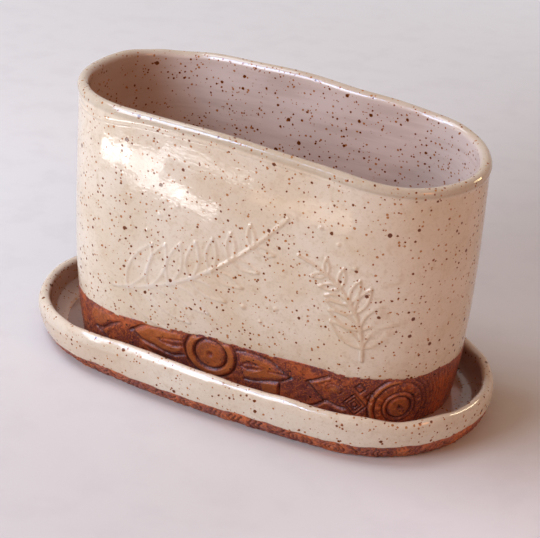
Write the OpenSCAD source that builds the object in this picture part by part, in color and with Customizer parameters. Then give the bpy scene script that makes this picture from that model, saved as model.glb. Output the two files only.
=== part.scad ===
// Hand-built oval planter that stands in its own oval saucer.
// Stoneware slabs: the walls are glazed, and a stamped band at each foot is left bare.
// Millimetres, +Z up. The origin is the middle of the saucer's underside, and +X runs along the
// length. Every wall is a loft round a racetrack outline, which hand-building leaves uneven.

/* [Planter] */
// Length of the planter over its rim
planter_length = 250; // [210:1:300]
// Width of the planter over its rim
planter_width = 116; // [96:1:140]
// Height of the planter from its foot to the middle level of its rim
planter_height = 161.5; // [120:0.5:210]
// Thickness of the slab that the planter's wall is made of
planter_slab = 6; // [4:0.5:8]
// Thickness of the planter's base slab
base_slab = 8; // [5:0.5:12]
// How far the wall draws in at the foot
foot_draw = 8; // [3:0.5:12]
// Height of the bare stamped band above the planter's foot
band_height = 33; // [30:1:40]
// Height of the rolled lip
lip_height = 8; // [6:0.5:12]
// How far the lip stands out past the wall
lip_roll = 0.8; // [0.2:0.1:1.5]
// Diameter of the drain holes in the base
drain_diameter = 12; // [8:0.5:16]
// Distance from one drain hole to the next
drain_spacing = 70; // [40:1:80]

/* [Rim and lines] */
// How far the rim falls from the middle to the +X end, and rises to the other end
rim_fall = 6.5; // [0:0.5:10]
// How far the rim stands up along the sides and dips at both ends
rim_sag = 2.6; // [0:0.1:5]
// Unevenness of the hand-built outlines, as a share of what the pot shows
hand_wobble = 1; // [0:0.1:1.3]

/* [Stamped band] */
// Height that the stamped lines stand out from the band
bead_height = 1; // [0.5:0.1:1.5]
// Width of a stamped line
bead_width = 2; // [1.2:0.1:2.6]

/* [Saucer] */
// Gap between the planter's foot and the saucer's wall, along the sides
side_gap = 4.4; // [3:0.1:20]
// Gap between the planter's foot and the saucer's wall, at the nearer end
end_gap = 13.8; // [6:0.1:40]
// Height of the saucer to the middle level of its rim
saucer_height = 26.7; // [22:0.1:45]
// Thickness of the saucer's wall
saucer_slab = 6.6; // [4:0.1:9]
// Thickness of the saucer's base slab
tray_slab = 7; // [5:0.5:9]
// How far the saucer's wall draws in at the foot
saucer_draw = 7.2; // [3:0.1:12]
// Height of the bare stamped band at the saucer's foot
saucer_band = 10; // [9.5:0.5:13]

/* [Place of the planter in the saucer] */
// How far the planter stands off the saucer's middle, along +X
planter_shift = 4.4; // [0:0.1:6]
// Angle that the planter is turned by in the saucer, in degrees
planter_turn = 3.5; // [0:0.1:5]

/* [Hidden] */

// Sections round an outline, and levels up the outside and the inside of a wall
steps = 80;
outer_levels = 6;
inner_levels = 4;
band_levels = 4;
// Steps over the round top of a rim
round_steps = 7;

planter_a = planter_length / 2;
planter_b = planter_width / 2;
planter_round = 4 * (planter_a - planter_b) + 2 * PI * planter_b;
// The turned planter needs this much more width in the saucer
turned_reach = (planter_a - planter_b) * sin(planter_turn);
tray_a = planter_a - foot_draw + planter_shift + end_gap;
tray_b = planter_b - foot_draw + turned_reach + side_gap;
saucer_a = tray_a + saucer_slab + saucer_draw;
saucer_b = tray_b + saucer_slab + saucer_draw;

// Swells of the hand-built outlines in mm, for one, two, three and more waves round the outline.
// Each has a part that peaks at the +X end and a part that peaks a quarter of a wave on.
rim_waves = [[-0.3, 0.7], [-0.9, 0.4], [0.6, 0.1]];
foot_waves = [[0, 0.1], [0, 1.6], [-0.9, -0.3]];
saucer_waves = [[0, -0.3], [-2.6, -0.9], [0, 0], [1.1, 0]];
// Rise and fall of the two rims, written the same way
rim_rises = [[-rim_fall, 0], [-rim_sag, 0.8]];
saucer_rises = [[-0.5, 0], [-2.1, 0]];
// The inside of a lip stands in by this much, and its roll fades into the wall over this height
lip_inner = 0.4;
lip_fade = 1.6;
// The stamped lines run this deep into the clay of the band
bead_root = 1.5;
// The wall's draw towards the foot follows this power of the height that is left to the rim
draw_power = 4;

// Stamps of one long side and its end: kind, share of the way round from the +X end, height
// above the foot as a share of the band, and size. The other side repeats them.
stamp_row = [
  ["chevron", 0.604, 0.55, 16],
  ["leaf", 0.672, 0.58, 34],
  ["rings", 0.728, 0.64, 31],
  ["leaf", 0.780, 0.58, 26],
  ["chevron", 0.830, 0.52, 16],
  ["lozenge", 0.873, 0.46, 15],
  ["rings", 0.921, 0.46, 27],
  ["lozenge", 0.969, 0.48, 15]
];

clay_colour = "#9A5230";
glaze_colour = "#DCCDB8";

// Sum of a list of numbers
function total(list) = list * [for (x = list) 1];

// Height of the waves at a share of the way round an outline
function waves_at(waves, share) = total([
  for (k = [0:len(waves) - 1])
    waves[k] * [cos(360 * (k + 1) * share), sin(360 * (k + 1) * share)]
]);

// A point on a round end of the racetrack, and its outward normal
function end_point(centre_x, radius, angle) =
  [[centre_x + radius * cos(angle), radius * sin(angle)], [cos(angle), sin(angle)]];

// A point at a share of the way round a racetrack of half length a and half width b, counted
// from the +X end, with its outward normal
function racetrack(a, b, share) =
  let (
    side = 2 * (a - b),
    end = PI * b,
    way = share * 2 * (side + end),
    turn = 180 / PI / b
  )
  way < end / 2 ? end_point(a - b, b, way * turn)
  : way < end / 2 + side ? [[a - b - (way - end / 2), b], [0, 1]]
  : way < end * 1.5 + side ? end_point(b - a, b, (way - side) * turn)
  : way < end * 1.5 + side * 2 ? [[b - a + (way - end * 1.5 - side), -b], [0, -1]]
  : end_point(a - b, b, (way - side * 2) * turn);

function share_of(i) = (i % steps) / steps;
function mixed(from, to, part) = from + (to - from) * part;
function level(z, height) = min(max(z / height, 0), 1);
function draw_in(z, height, draw) = draw * pow(1 - level(z, height), draw_power);

// A point of a wall at a share of the way round, a height and a depth below its outer face
function wall_point(a, b, height, draw, low_waves, high_waves, share, z, depth) =
  let (
    track = racetrack(a, b, share),
    up = level(z, height),
    wave = mixed(waves_at(low_waves, share), waves_at(high_waves, share), up) * hand_wobble,
    out = wave - draw_in(z, height, draw) - depth,
    p = track[0] + out * track[1]
  )
  [p[0], p[1], z];

function planter_point(share, z, depth) =
  wall_point(
    planter_a, planter_b, planter_height, foot_draw, foot_waves, rim_waves, share, z, depth
  );

function saucer_point(share, z, depth) =
  wall_point(
    saucer_a, saucer_b, saucer_height, saucer_draw, saucer_waves, saucer_waves, share, z, depth
  );

function at_height(point, z) = [point[0], point[1], z];
function planter_rim_z(share) = planter_height + waves_at(rim_rises, share);
function lip_z(share) = planter_rim_z(share) - lip_height;
function saucer_rim_z(share) = saucer_height + waves_at(saucer_rises, share);

// Depths and heights over the round top of a rim, from its outer face to its inner face
function round_top(outer_depth, inner_depth, top_z) =
  let (radius = (inner_depth - outer_depth) / 2)
  [
    for (i = [0:round_steps])
      let (angle = 180 * i / round_steps)
        [outer_depth + radius * (1 - cos(angle)), top_z - radius * (1 - sin(angle))]
  ];

// Closed loft through sections round an outline, each a closed loop of as many points
module ring_loft(sections) {
  n = len(sections);
  m = len(sections[0]);
  polyhedron(
    points = [for (section = sections) each section],
    faces = [
      for (i = [0:n - 1], j = [0:m - 1])
        let (
          next_i = (i + 1) % n,
          next_j = (j + 1) % m,
          corner = i * m + j,
          above = i * m + next_j,
          across = next_i * m + next_j,
          beside = next_i * m + j
        )
          each [[corner, across, beside], [corner, above, across]]
    ]
  );
}

// Puts the planter's own frame, which has its foot at zero, in its place in the saucer
module in_saucer() {
  translate([planter_shift, 0, tray_slab]) rotate(planter_turn) children();
}

// A point of the planter's outside, from a stamp's middle: mm along the wall, mm up, and depth
function stamp_point(share, z, along, up, depth) =
  planter_point(share + along / planter_round, z + up, depth);

// Closed loops in a stamp's own flat frame: a ring, a leaf with two points, and a lozenge
function ring_loop(radius) =
  [for (angle = [0:18:342]) radius * [cos(angle), sin(angle)]];

function leaf_loop(length, height) =
  [for (angle = [0:18:342]) [length * cos(angle), height * sin(angle) * abs(sin(angle))] / 2];

function lozenge_loop(size) =
  [for (angle = [0:45:315]) size / (abs(cos(angle)) + abs(sin(angle))) * [cos(angle), sin(angle)] / 2];

// A raised bead of clay along a closed loop on the band, partly sunk in it
module bead(share, z, loop, width) {
  n = len(loop);
  half = width / 2;
  ring_loft([
    for (i = [0:n - 1])
      let (
        before = loop[(i + n - 1) % n],
        after = loop[(i + 1) % n],
        way = (after - before) / norm(after - before),
        beside = [way[1], -way[0]] * half
      )
        [
          for (p = [[1, bead_root / 3], [0, -bead_height], [-1, bead_root / 3], [0, bead_root]])
            let (at = loop[i] + p[0] * beside) stamp_point(share, z, at[0], at[1], p[1])
        ]
  ]);
}

// A raised bar of clay between two places of a stamp, round at both ends
module bar(share, z, from, to, radius) {
  hull()
    for (end = [from, to])
      translate(stamp_point(share, z, end[0], end[1], radius - bead_height))
        sphere(r = radius, $fn = 8);
}

// Two rings round a boss
module rings_stamp(share, z, size) {
  bead(share, z, ring_loop(size * 0.43), 2 * bead_width);
  bead(share, z, ring_loop(size * 0.25), bead_width);
  translate(stamp_point(share, z, 0, 0, 0)) sphere(r = bead_width * 0.8, $fn = 12);
}

// A leaf's outline round its rib
module leaf_stamp(share, z, size) {
  bead(share, z, leaf_loop(size, size * 0.5), bead_width);
  bar(share, z, [-size * 0.2, 0], [size * 0.2, 0], bead_width * 0.9);
}

// Two short bars that meet in a point
module chevron_stamp(share, z, size) {
  for (up = [-size / 3, size / 3])
    bar(share, z, [-size / 2, 0], [size / 2, up], bead_width * 0.6);
}

// One lozenge inside another
module lozenge_stamp(share, z, size) {
  bead(share, z, lozenge_loop(size), bead_width);
  bar(share, z, [-size * 0.1, 0], [size * 0.1, 0], bead_width * 0.6);
}

module stamp(kind, share, z, size) {
  if (kind == "rings") rings_stamp(share, z, size);
  if (kind == "leaf") leaf_stamp(share, z, size);
  if (kind == "chevron") chevron_stamp(share, z, size);
  if (kind == "lozenge") lozenge_stamp(share, z, size);
}

// The raised lines of all the stamps, cut off level with the band's own edges
module band_stamps() {
  reach = 2 * planter_length;
  intersection() {
    for (side = [0, 0.5], row = stamp_row)
      stamp(row[0], row[1] - side, row[2] * band_height, row[3]);
    translate([-reach / 2, -reach / 2, 0]) cube([reach, reach, band_height]);
  }
}

// The base slab, cut to the inside of the band, with its drain holes
module planter_floor() {
  color(clay_colour)
    in_saucer()
      difference() {
        linear_extrude(base_slab)
          polygon([
            for (i = [0:steps - 1])
              let (p = planter_point(share_of(i), 0, planter_slab)) [p[0], p[1]]
          ]);
        for (x = [-drain_spacing, 0, drain_spacing])
          translate([x, 0, -1]) cylinder(h = base_slab + 2, d = drain_diameter, $fn = 64);
      }
}

// The lower course of the wall, from the foot to the glaze line
module band_course() {
  ring_loft([
    for (i = [0:steps - 1])
      let (share = share_of(i), floor_edge = planter_point(share, 0, planter_slab))
        concat(
          [for (k = [0:band_levels]) planter_point(share, band_height * k / band_levels, 0)],
          [
            for (k = [band_levels:-1:1])
              planter_point(share, mixed(base_slab, band_height, k / band_levels), planter_slab)
          ],
          [at_height(floor_edge, base_slab), at_height(floor_edge, 0)]
        )
  ]);
}

// The bare band, with the stamps standing out of the same clay
module planter_band() {
  color(clay_colour)
    in_saucer()
      union() {
        band_course();
        band_stamps();
      }
}

// The glazed wall, from the glaze line to the lip
module planter_wall() {
  color(glaze_colour)
    in_saucer()
      ring_loft([
        for (i = [0:steps - 1])
          let (share = share_of(i), top = lip_z(share))
            concat(
              [
                for (k = [0:outer_levels])
                  planter_point(share, mixed(band_height, top, k / outer_levels), 0)
              ],
              [
                for (k = [inner_levels:-1:0])
                  planter_point(share, mixed(band_height, top, k / inner_levels), planter_slab)
              ]
            )
      ]);
}

// The rolled lip
module planter_rim() {
  color(glaze_colour)
    in_saucer()
      ring_loft([
        for (i = [0:steps - 1])
          let (
            share = share_of(i),
            bottom = lip_z(share),
            top = planter_rim_z(share)
          )
            concat(
              [planter_point(share, bottom, 0)],
              [planter_point(share, bottom + lip_fade, -lip_roll)],
              [
                for (p = round_top(-lip_roll, planter_slab + lip_inner, top))
                  planter_point(share, p[1], p[0])
              ],
              [planter_point(share, bottom, planter_slab)]
            )
      ]);
}

// The saucer's base slab, cut to the inside of its band
module saucer_floor() {
  color(glaze_colour)
    linear_extrude(tray_slab)
      polygon([
        for (i = [0:steps - 1])
          let (p = saucer_point(share_of(i), 0, saucer_slab)) [p[0], p[1]]
      ]);
}

// The bare band at the saucer's foot
module saucer_band() {
  color(clay_colour)
    ring_loft([
      for (i = [0:steps - 1])
        let (share = share_of(i), floor_edge = saucer_point(share, 0, saucer_slab))
          concat(
            [
              for (k = [0:inner_levels])
                saucer_point(share, saucer_band * k / inner_levels, 0)
            ],
            [
              saucer_point(share, saucer_band, saucer_slab),
              at_height(floor_edge, tray_slab),
              at_height(floor_edge, 0)
            ]
          )
    ]);
}

// The saucer's glazed wall, with its round rim
module saucer_wall() {
  color(glaze_colour)
    ring_loft([
      for (i = [0:steps - 1])
        let (
          share = share_of(i),
          top = saucer_rim_z(share),
          middle = mixed(saucer_band, top, 0.4)
        )
          concat(
            [saucer_point(share, saucer_band, 0), saucer_point(share, middle, 0)],
            [
              for (p = round_top(0, saucer_slab, top))
                saucer_point(share, p[1], p[0])
            ],
            [
              saucer_point(share, middle, saucer_slab),
              saucer_point(share, saucer_band, saucer_slab)
            ]
          )
    ]);
}

saucer_floor();
saucer_band();
saucer_wall();
planter_floor();
planter_band();
planter_wall();
planter_rim();
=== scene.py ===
# %% [markdown]
# # An oval stoneware planter in its saucer
# The planter is built from slabs of speckled stoneware. Cream glaze covers it down to a line above
# the foot, and the stamped band below that line is bare red-brown clay. The CAD model gives every
# size and place. This lesson loads it as a fixed frame and dresses it: the walls are made again as
# fine meshes that can hold the marks of hand-building, and each surface gets its real finish.

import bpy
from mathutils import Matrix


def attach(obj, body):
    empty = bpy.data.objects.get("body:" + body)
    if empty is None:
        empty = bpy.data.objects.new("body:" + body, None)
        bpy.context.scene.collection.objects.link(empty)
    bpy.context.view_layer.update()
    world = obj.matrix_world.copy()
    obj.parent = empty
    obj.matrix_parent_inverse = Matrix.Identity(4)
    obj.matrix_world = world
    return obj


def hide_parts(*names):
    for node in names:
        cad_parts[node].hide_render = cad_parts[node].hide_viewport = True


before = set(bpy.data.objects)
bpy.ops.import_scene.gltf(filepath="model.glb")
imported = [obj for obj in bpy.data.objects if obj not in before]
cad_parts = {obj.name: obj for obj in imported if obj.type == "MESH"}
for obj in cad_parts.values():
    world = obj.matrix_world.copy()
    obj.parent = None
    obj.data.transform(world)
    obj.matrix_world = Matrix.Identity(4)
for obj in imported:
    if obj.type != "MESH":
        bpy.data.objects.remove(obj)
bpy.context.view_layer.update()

import math

import bpy
import numpy as np
from mathutils import Matrix, Vector

# %% [markdown]
# ## Sizes
# All sizes here are in millimetres, as a potter would measure them, and one factor turns them into
# Blender's metres. The planter's outline is a racetrack: two straight sides and two round ends.

# %% Sizes of the planter
MM = 0.001

# Half the length and half the width over the rim
planter_a = 125.0
planter_b = 58.0
planter_height = 161.5
planter_slab = 6.0
base_slab = 8.0
band_height = 33.0
# How far the wall draws in at the foot, and the power of the height that the draw follows
foot_draw = 8.0
draw_power = 4
# How far the lip stands out and in past the wall
lip_roll = 0.8
lip_inner = 0.4
# Place of the planter in the saucer
planter_shift = 4.4
planter_turn = math.radians(3.5)
print(f"planter {2 * planter_a:.0f} by {2 * planter_b:.0f} by {planter_height:.0f} mm")

# %% Sizes of the saucer
tray_slab = 7.0
saucer_slab = 6.6
saucer_draw = 7.2
saucer_height = 26.7
# Gaps between the planter's foot and the saucer's wall
side_gap = 4.4
end_gap = 13.8
turned_reach = (planter_a - planter_b) * math.sin(planter_turn)
saucer_a = planter_a - foot_draw + planter_shift + end_gap + saucer_slab + saucer_draw
saucer_b = planter_b - foot_draw + turned_reach + side_gap + saucer_slab + saucer_draw
print(f"saucer {2 * saucer_a:.0f} by {2 * saucer_b:.0f} mm over its rim")

# %% [markdown]
# Hand-building leaves the outlines and the rims uneven. They could be pushed about in sculpt mode,
# but a few low waves round the outline copy them with a handful of numbers, and keep to the CAD
# model. Each pair below is one more wave round the outline: the part of it that peaks at the +X
# end, and the part that peaks a quarter of a wave on.

# %% Waves of the outlines and the rims
rim_waves = [[-0.3, 0.7], [-0.9, 0.4], [0.6, 0.1]]
foot_waves = [[0, 0.1], [0, 1.6], [-0.9, -0.3]]
saucer_waves = [[0, -0.3], [-2.6, -0.9], [0, 0], [1.1, 0]]
rim_rises = [[-6.5, 0], [-2.6, 0.8]]
saucer_rises = [[-0.5, 0], [-2.1, 0]]
print(len(rim_waves), "waves shape the planter's rim and", len(saucer_waves), "the saucer's")

# %% [markdown]
# ## Camera
# The photograph looks down on the planter from the front right with a long lens, and the camera
# is rolled a little. A Track To constraint could aim it, but would undo the roll. A matrix made
# from its own right, up and back directions holds both, aimed just beside the middle.

# %% Camera
camera_azimuth = math.radians(26.11)
camera_elevation = math.radians(27.5)
camera_roll = math.radians(3.7)
camera_distance = 1150.0
picture_width = 540
focal_pixels = 1921.0
aim_right = 3.2
aim_height = 64.8

back = Vector((
    math.sin(camera_azimuth) * math.cos(camera_elevation),
    -math.cos(camera_azimuth) * math.cos(camera_elevation),
    math.sin(camera_elevation),
))
right = Vector((math.cos(camera_azimuth), math.sin(camera_azimuth), 0))
up = back.cross(right)
aim = right * aim_right + Vector((0, 0, aim_height))

camera_data = bpy.data.cameras.new("camera")
camera = bpy.data.objects.new("camera", camera_data)
bpy.context.scene.collection.objects.link(camera)
camera_data.lens = camera_data.sensor_width * focal_pixels / picture_width
rolled_right = right * math.cos(camera_roll) + up * math.sin(camera_roll)
rolled_up = up * math.cos(camera_roll) - right * math.sin(camera_roll)
turn = Matrix((rolled_right, rolled_up, back)).transposed().to_4x4()
camera.matrix_world = Matrix.Translation((aim + back * camera_distance) * MM) @ turn
camera_data.clip_start = 0.05
camera_data.clip_end = 50
bpy.context.scene.camera = camera
print(f"camera at {camera_distance:.0f} mm, lens {camera_data.lens:.0f} mm")

# %% [markdown]
# ## The outline as arrays
# A curve with a bevelled section could draw a wall, but every mark on it would need a second way
# to find its place. Here every wall point has three numbers: its share of the way round from the
# +X end, its height, and its depth below the outer face. NumPy works out all the points of a wall
# in one go, and marks and glaze lines use the same three numbers.

# %% Racetrack outline and its waves
def racetrack(a, b, share):
    """Points and outward normals of a racetrack at shares of the way round."""
    side = 2 * (a - b)
    end = math.pi * b
    way = np.mod(share, 1) * 2 * (side + end)
    on_right = (way < end / 2) | (way >= end * 1.5 + side * 2)
    on_back = (way >= end / 2) & (way < end / 2 + side)
    on_left = (way >= end / 2 + side) & (way < end * 1.5 + side)
    angle = np.where(way < end / 2, way / b, (way - side * 2) / b)
    angle = np.where(on_left, (way - side) / b, angle)
    angle = np.where(on_back, math.pi / 2, angle)
    on_front = ~(on_right | on_back | on_left)
    angle = np.where(on_front, -math.pi / 2, angle)
    normal = np.stack([np.cos(angle), np.sin(angle)], -1)
    x = np.where(on_right, a - b, np.where(on_left, b - a, 0.0))
    x = np.where(on_back, a - b - (way - end / 2), x)
    x = np.where(on_front, b - a + (way - end * 1.5 - side), x)
    return np.stack([x + b * normal[..., 0], b * normal[..., 1]], -1), normal


def waves_at(waves, share):
    """Sum of one, two, three and more waves at shares of the way round."""
    height = np.zeros_like(share)
    for k, (along, across) in enumerate(waves, 1):
        height += along * np.cos(2 * math.pi * k * share) + across * np.sin(2 * math.pi * k * share)
    return height


def rounded(values, low, high):
    """0 below low, 1 above high, and a smooth step between."""
    part = np.clip((values - low) / (high - low), 0, 1)
    return part * part * (3 - 2 * part)


planter_round = 4 * (planter_a - planter_b) + 2 * math.pi * planter_b
print(f"way round the planter: {planter_round:.0f} mm")

# %% [markdown]
# The wall leans in towards the foot, faster near it. The planter is also turned and shifted in its
# saucer. One function for each wall does all of that, so every mark on it follows the curve.

# %% Points of the two walls
def planter_points(share, z, depth):
    """Points of the planter's wall in the row frame, in millimetres."""
    share, z, depth = np.broadcast_arrays(share, z, depth)
    track, normal = racetrack(planter_a, planter_b, share)
    up_share = np.clip(z / planter_height, 0, 1)
    wave = waves_at(foot_waves, share) * (1 - up_share) + waves_at(rim_waves, share) * up_share
    out = wave - foot_draw * (1 - up_share) ** draw_power - depth
    flat = track + normal * out[..., None]
    c, s = math.cos(planter_turn), math.sin(planter_turn)
    x = flat[..., 0] * c - flat[..., 1] * s + planter_shift
    y = flat[..., 0] * s + flat[..., 1] * c
    return np.stack([x, y, z + tray_slab], -1)


# How much further in the saucer's foot is drawn at its left front, in mm
left_front_draw = 2.0


def saucer_points(share, z, depth):
    """Points of the saucer's wall in the row frame, in millimetres."""
    share, z, depth = np.broadcast_arrays(share, z, depth)
    track, normal = racetrack(saucer_a, saucer_b, share)
    up_share = np.clip(z / saucer_height, 0, 1)
    out = waves_at(saucer_waves, share) - saucer_draw * (1 - up_share) ** draw_power - depth
    left_front = rounded(share, 0.46, 0.53) * (1 - rounded(share, 0.61, 0.70))
    out -= left_front_draw * (1 - up_share) ** 2 * left_front
    flat = track + normal * out[..., None]
    return np.stack([flat[..., 0], flat[..., 1], z], -1)


def rim_z(share):
    """Height of the planter's rim above its foot."""
    return planter_height + waves_at(rim_rises, share)


def saucer_rim_z(share):
    """Height of the saucer's rim above the table."""
    return saucer_height + waves_at(saucer_rises, share)


near_end = np.zeros(1)
print(f"rims at the near end: planter {rim_z(near_end)[0]:.1f} mm, saucer {saucer_rim_z(near_end)[0]:.1f} mm")

# %% [markdown]
# ## Meshes from rows
# A pot's wall is a section carried round an outline. A Screw or Solidify modifier would be less
# work, but the mesh also has to keep values at its points, such as how deep a stamp went, so that
# the finish can follow the shape. So the mesh is a grid: each row is one line round the outline,
# and the rows follow the section up the outside, over the rim and down the inside. The grid
# closes both ways, so the piece is a solid, as fired clay is.

# %% Mesh of rings
def ring_mesh(name, rows, kept):
    """A closed mesh from an array of rows round the outline, with values at its points."""
    points = np.asarray(rows) * MM
    index = np.arange(points.shape[0] * points.shape[1]).reshape(points.shape[:2])
    beside = np.roll(index, -1, 1)
    above = np.roll(index, -1, 0)
    quads = np.stack([index, beside, np.roll(beside, -1, 0), above], -1).reshape(-1, 4)
    mesh = bpy.data.meshes.new(name)
    mesh.vertices.add(index.size)
    mesh.vertices.foreach_set("co", points.astype(np.float32).ravel())
    mesh.loops.add(quads.size)
    mesh.loops.foreach_set("vertex_index", quads.astype(np.int32).ravel())
    mesh.polygons.add(len(quads))
    mesh.polygons.foreach_set("loop_start", np.arange(0, quads.size, 4, dtype=np.int32))
    mesh.polygons.foreach_set("use_smooth", np.ones(len(quads), dtype=bool))
    for value_name, values in kept.items():
        layer = mesh.attributes.new(value_name, "FLOAT", "POINT")
        layer.data.foreach_set("value", np.asarray(values, np.float32).ravel())
    mesh.update(calc_edges=True)
    mesh.validate()
    piece = bpy.data.objects.new(name, mesh)
    bpy.context.scene.collection.objects.link(piece)
    print(f"{name}: {index.size} points, {len(quads)} faces")
    return piece


# %% [markdown]
# ## Hand-built unevenness
# A slab that was rolled, bent and smoothed by hand is never quite even. Noise from a modifier would
# give lumps of every size at once. A few waves of about one size in mm, added at random angles, give
# the slow bulges that catch the light on a real wall, and a fixed seed keeps them the same each run.

# %% Unevenness
def uneven(share, z, *layers):
    """Height of slow bulges. A layer is the size of its bulges in mm, their height and its seed."""
    total = np.zeros(np.broadcast(share, z).shape)
    for size, height, seed in layers:
        draw = np.random.default_rng(seed)
        for _ in range(9):
            waves = max(1, round(planter_round / size * draw.uniform(0.6, 1.4)))
            tall = draw.uniform(-1.4, 1.4) / size
            shift = draw.uniform(0, 2 * math.pi)
            total += height / 3 * np.cos(2 * math.pi * (waves * share + tall * z) + shift)
    return total


def ripples(share, *waves):
    """Small waves of a glaze line. Each is how many go round, their height in mm and their shift."""
    return sum(height * np.sin(2 * math.pi * count * share + shift) for count, height, shift in waves)


round_the_pot = np.linspace(0, 1, 200)
print(f"largest of 60 mm bulges 1 mm high: {uneven(round_the_pot, 0, (60, 1, 1)).max():.2f} mm")

# %% Smooth tables and rounded shapes
def eased_through(table, share):
    """Values round the outline that pass smoothly through a table of (share, value)."""
    knots = np.array(table)
    share = np.mod(share, 1)
    after = np.clip(np.searchsorted(knots[:, 0], share), 1, len(knots) - 1)
    low, high = knots[after - 1], knots[after]
    part = rounded(share, low[..., 0], high[..., 0])
    return low[..., 1] * (1 - part) + high[..., 1] * part


def quarter_round(distance, radius):
    """Height of a rounded edge as a share: 0 at the edge, and 1 from a radius inwards."""
    return np.sqrt(1 - (1 - np.clip(distance / radius, 0, 1)) ** 2)


def bell(distance, width):
    """1 in the middle, falling away softly over a width on both sides."""
    return np.exp(-(distance / width) ** 2)


print(f"a rounded edge is {quarter_round(0.5, 1):.2f} high half a radius in, a bell {bell(0.5, 1):.2f}")

# %% [markdown]
# ## Marks in clay
# Every line, ring, leaf and lozenge on this pot is a low mark in soft clay. Sculpting them would
# need a mesh that is fine all over and a steady hand. A list of marks is easy to move and repeat:
# each is a kind, a shape, a width and a height over the wall in mm. A line's height falls away from
# it on both sides, and a pad's height rises from its outline inwards. Marks add up, so a pod can be
# sunk into a leaf that stands proud.

# %% Distances on the wall
def distance_to_line(along, z, line):
    """Distance in mm from points of a wall to a line of points."""
    nearest = np.full(np.broadcast(along, z).shape, 1e9)
    for (x0, z0), (x1, z1) in zip(line[:-1], line[1:]):
        dx, dz = x1 - x0, z1 - z0
        part = np.clip(((along - x0) * dx + (z - z0) * dz) / max(dx * dx + dz * dz, 1e-9), 0, 1)
        nearest = np.minimum(nearest, np.hypot(along - x0 - part * dx, z - z0 - part * dz))
    return nearest


def depth_in_outline(along, z, outline):
    """Distance inwards from a closed outline, 0 outside it."""
    closed = list(outline) + [outline[0]]
    inside = np.zeros(np.broadcast(along, z).shape, dtype=bool)
    for (x0, z0), (x1, z1) in zip(closed[:-1], closed[1:]):
        if z0 != z1:
            crossed = ((z0 > z) != (z1 > z)) & (along < (x1 - x0) * (z - z0) / (z1 - z0) + x0)
            inside ^= crossed
    return np.where(inside, distance_to_line(along, z, closed), 0)


straight_line = [(0, 0), (10, 0)]
print("3 mm above a line:", distance_to_line(np.array([6.0]), 3.0, straight_line)[0], "mm off it")

# %% Height of a mark
def mark_height(along, z, kind, shape, width, height):
    """Height that one mark adds. Its kind is ring, line or pad."""
    if kind == "ring":
        x0, z0, wide, tall = shape
        radius = np.hypot(along - x0, (z - z0) * wide / tall)
        return height * (1 - rounded(np.abs(radius - wide), width * 0.3, width))
    if kind == "line":
        return height * (1 - rounded(distance_to_line(along, z, shape), width * 0.3, width))
    return height * rounded(depth_in_outline(along, z, shape), 0, width)


def marks_height(along, z, marks):
    """Height of all marks on a grid, each worked out only near itself."""
    total = np.zeros(np.broadcast(along, z).shape)
    for kind, shape, width, height in marks:
        if kind == "ring":
            first, last = shape[0] - shape[2] - width, shape[0] + shape[2] + width
        else:
            first, last = min(p[0] for p in shape) - width, max(p[0] for p in shape) + width
        near = np.flatnonzero((along[0] > first) & (along[0] < last))
        if near.size:
            total[:, near] += mark_height(along[:, near], z[:, near], kind, shape, width, height)
    return total


for distance in (0.0, 0.5, 1.0):
    line_height = mark_height(np.array([5.0]), distance, "line", straight_line, 1.0, 1.0)[0]
    print(f"a line 1 mm high and wide is {line_height:.2f} mm high {distance} mm off its middle")

# %% Arcs and bends
def arc(x0, z0, radius, start, end, count=12):
    """Points of part of a circle, from and to angles in degrees."""
    angles = np.radians(np.linspace(start, end, count))
    return [(x0 + radius * math.cos(a), z0 + radius * math.sin(a)) for a in angles]


def bend(start, middle, end, count=16):
    """Points of a curve from start to end that is drawn towards middle."""
    curve = []
    for t in np.linspace(0, 1, count):
        curve.append(tuple((1 - t) ** 2 * s + 2 * t * (1 - t) * m + t * t * e
                           for s, m, e in zip(start, middle, end)))
    return curve


print("a quarter circle of 10 mm ends at", tuple(round(float(v), 3) for v in arc(0, 0, 10, 0, 90)[-1]))

# %% [markdown]
# ## The raised drawing on the wall
# A drawing stands out from the glazed wall as low rounded lines, softened by the glaze over them.
# It is a plain pair of fern fronds with seed heads. A bump texture would be quicker, but lines of
# this size catch light on one side and throw shade on the other, so they are real relief. A frond
# is a bent stem with pairs of open leaflets, and each leaflet is two bent lines that meet at its
# tip. Places are mm along the wall and mm above the foot.

# %% Fronds
# Share by which a leaflet at the tip is shorter than the first, and where a leaflet is widest
tip_shortening = 0.72
widest_at = 0.55
# How far a leaflet's two lines bow to each side in radians, and their size as a share of the stem's
leaflet_bow = 0.616
leaflet_share = 0.8


def frond(spine, pairs, longest, turn_out, width, height):
    """Marks for one frond: its stem and pairs of open leaflets that get shorter to the tip."""
    marks = [("line", spine, width, height)]
    for k in range(pairs):
        at = 2 + round((len(spine) - 5) * k / pairs)
        (x0, z0), (x1, z1) = spine[at - 1], spine[at + 1]
        heading = math.atan2(z1 - z0, x1 - x0)
        length = longest * (1 - tip_shortening * k / pairs)
        for side in (-1, 1):
            way = heading + side * turn_out
            tip = (spine[at][0] + length * math.cos(way), spine[at][1] + length * math.sin(way))
            for bow in (-leaflet_bow, leaflet_bow):
                middle = (spine[at][0] + length * widest_at * math.cos(way + bow),
                          spine[at][1] + length * widest_at * math.sin(way + bow))
                leaflet = bend(spine[at], middle, tip, 8)
                marks.append(("line", leaflet, width * leaflet_share, height * leaflet_share))
    return marks


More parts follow.
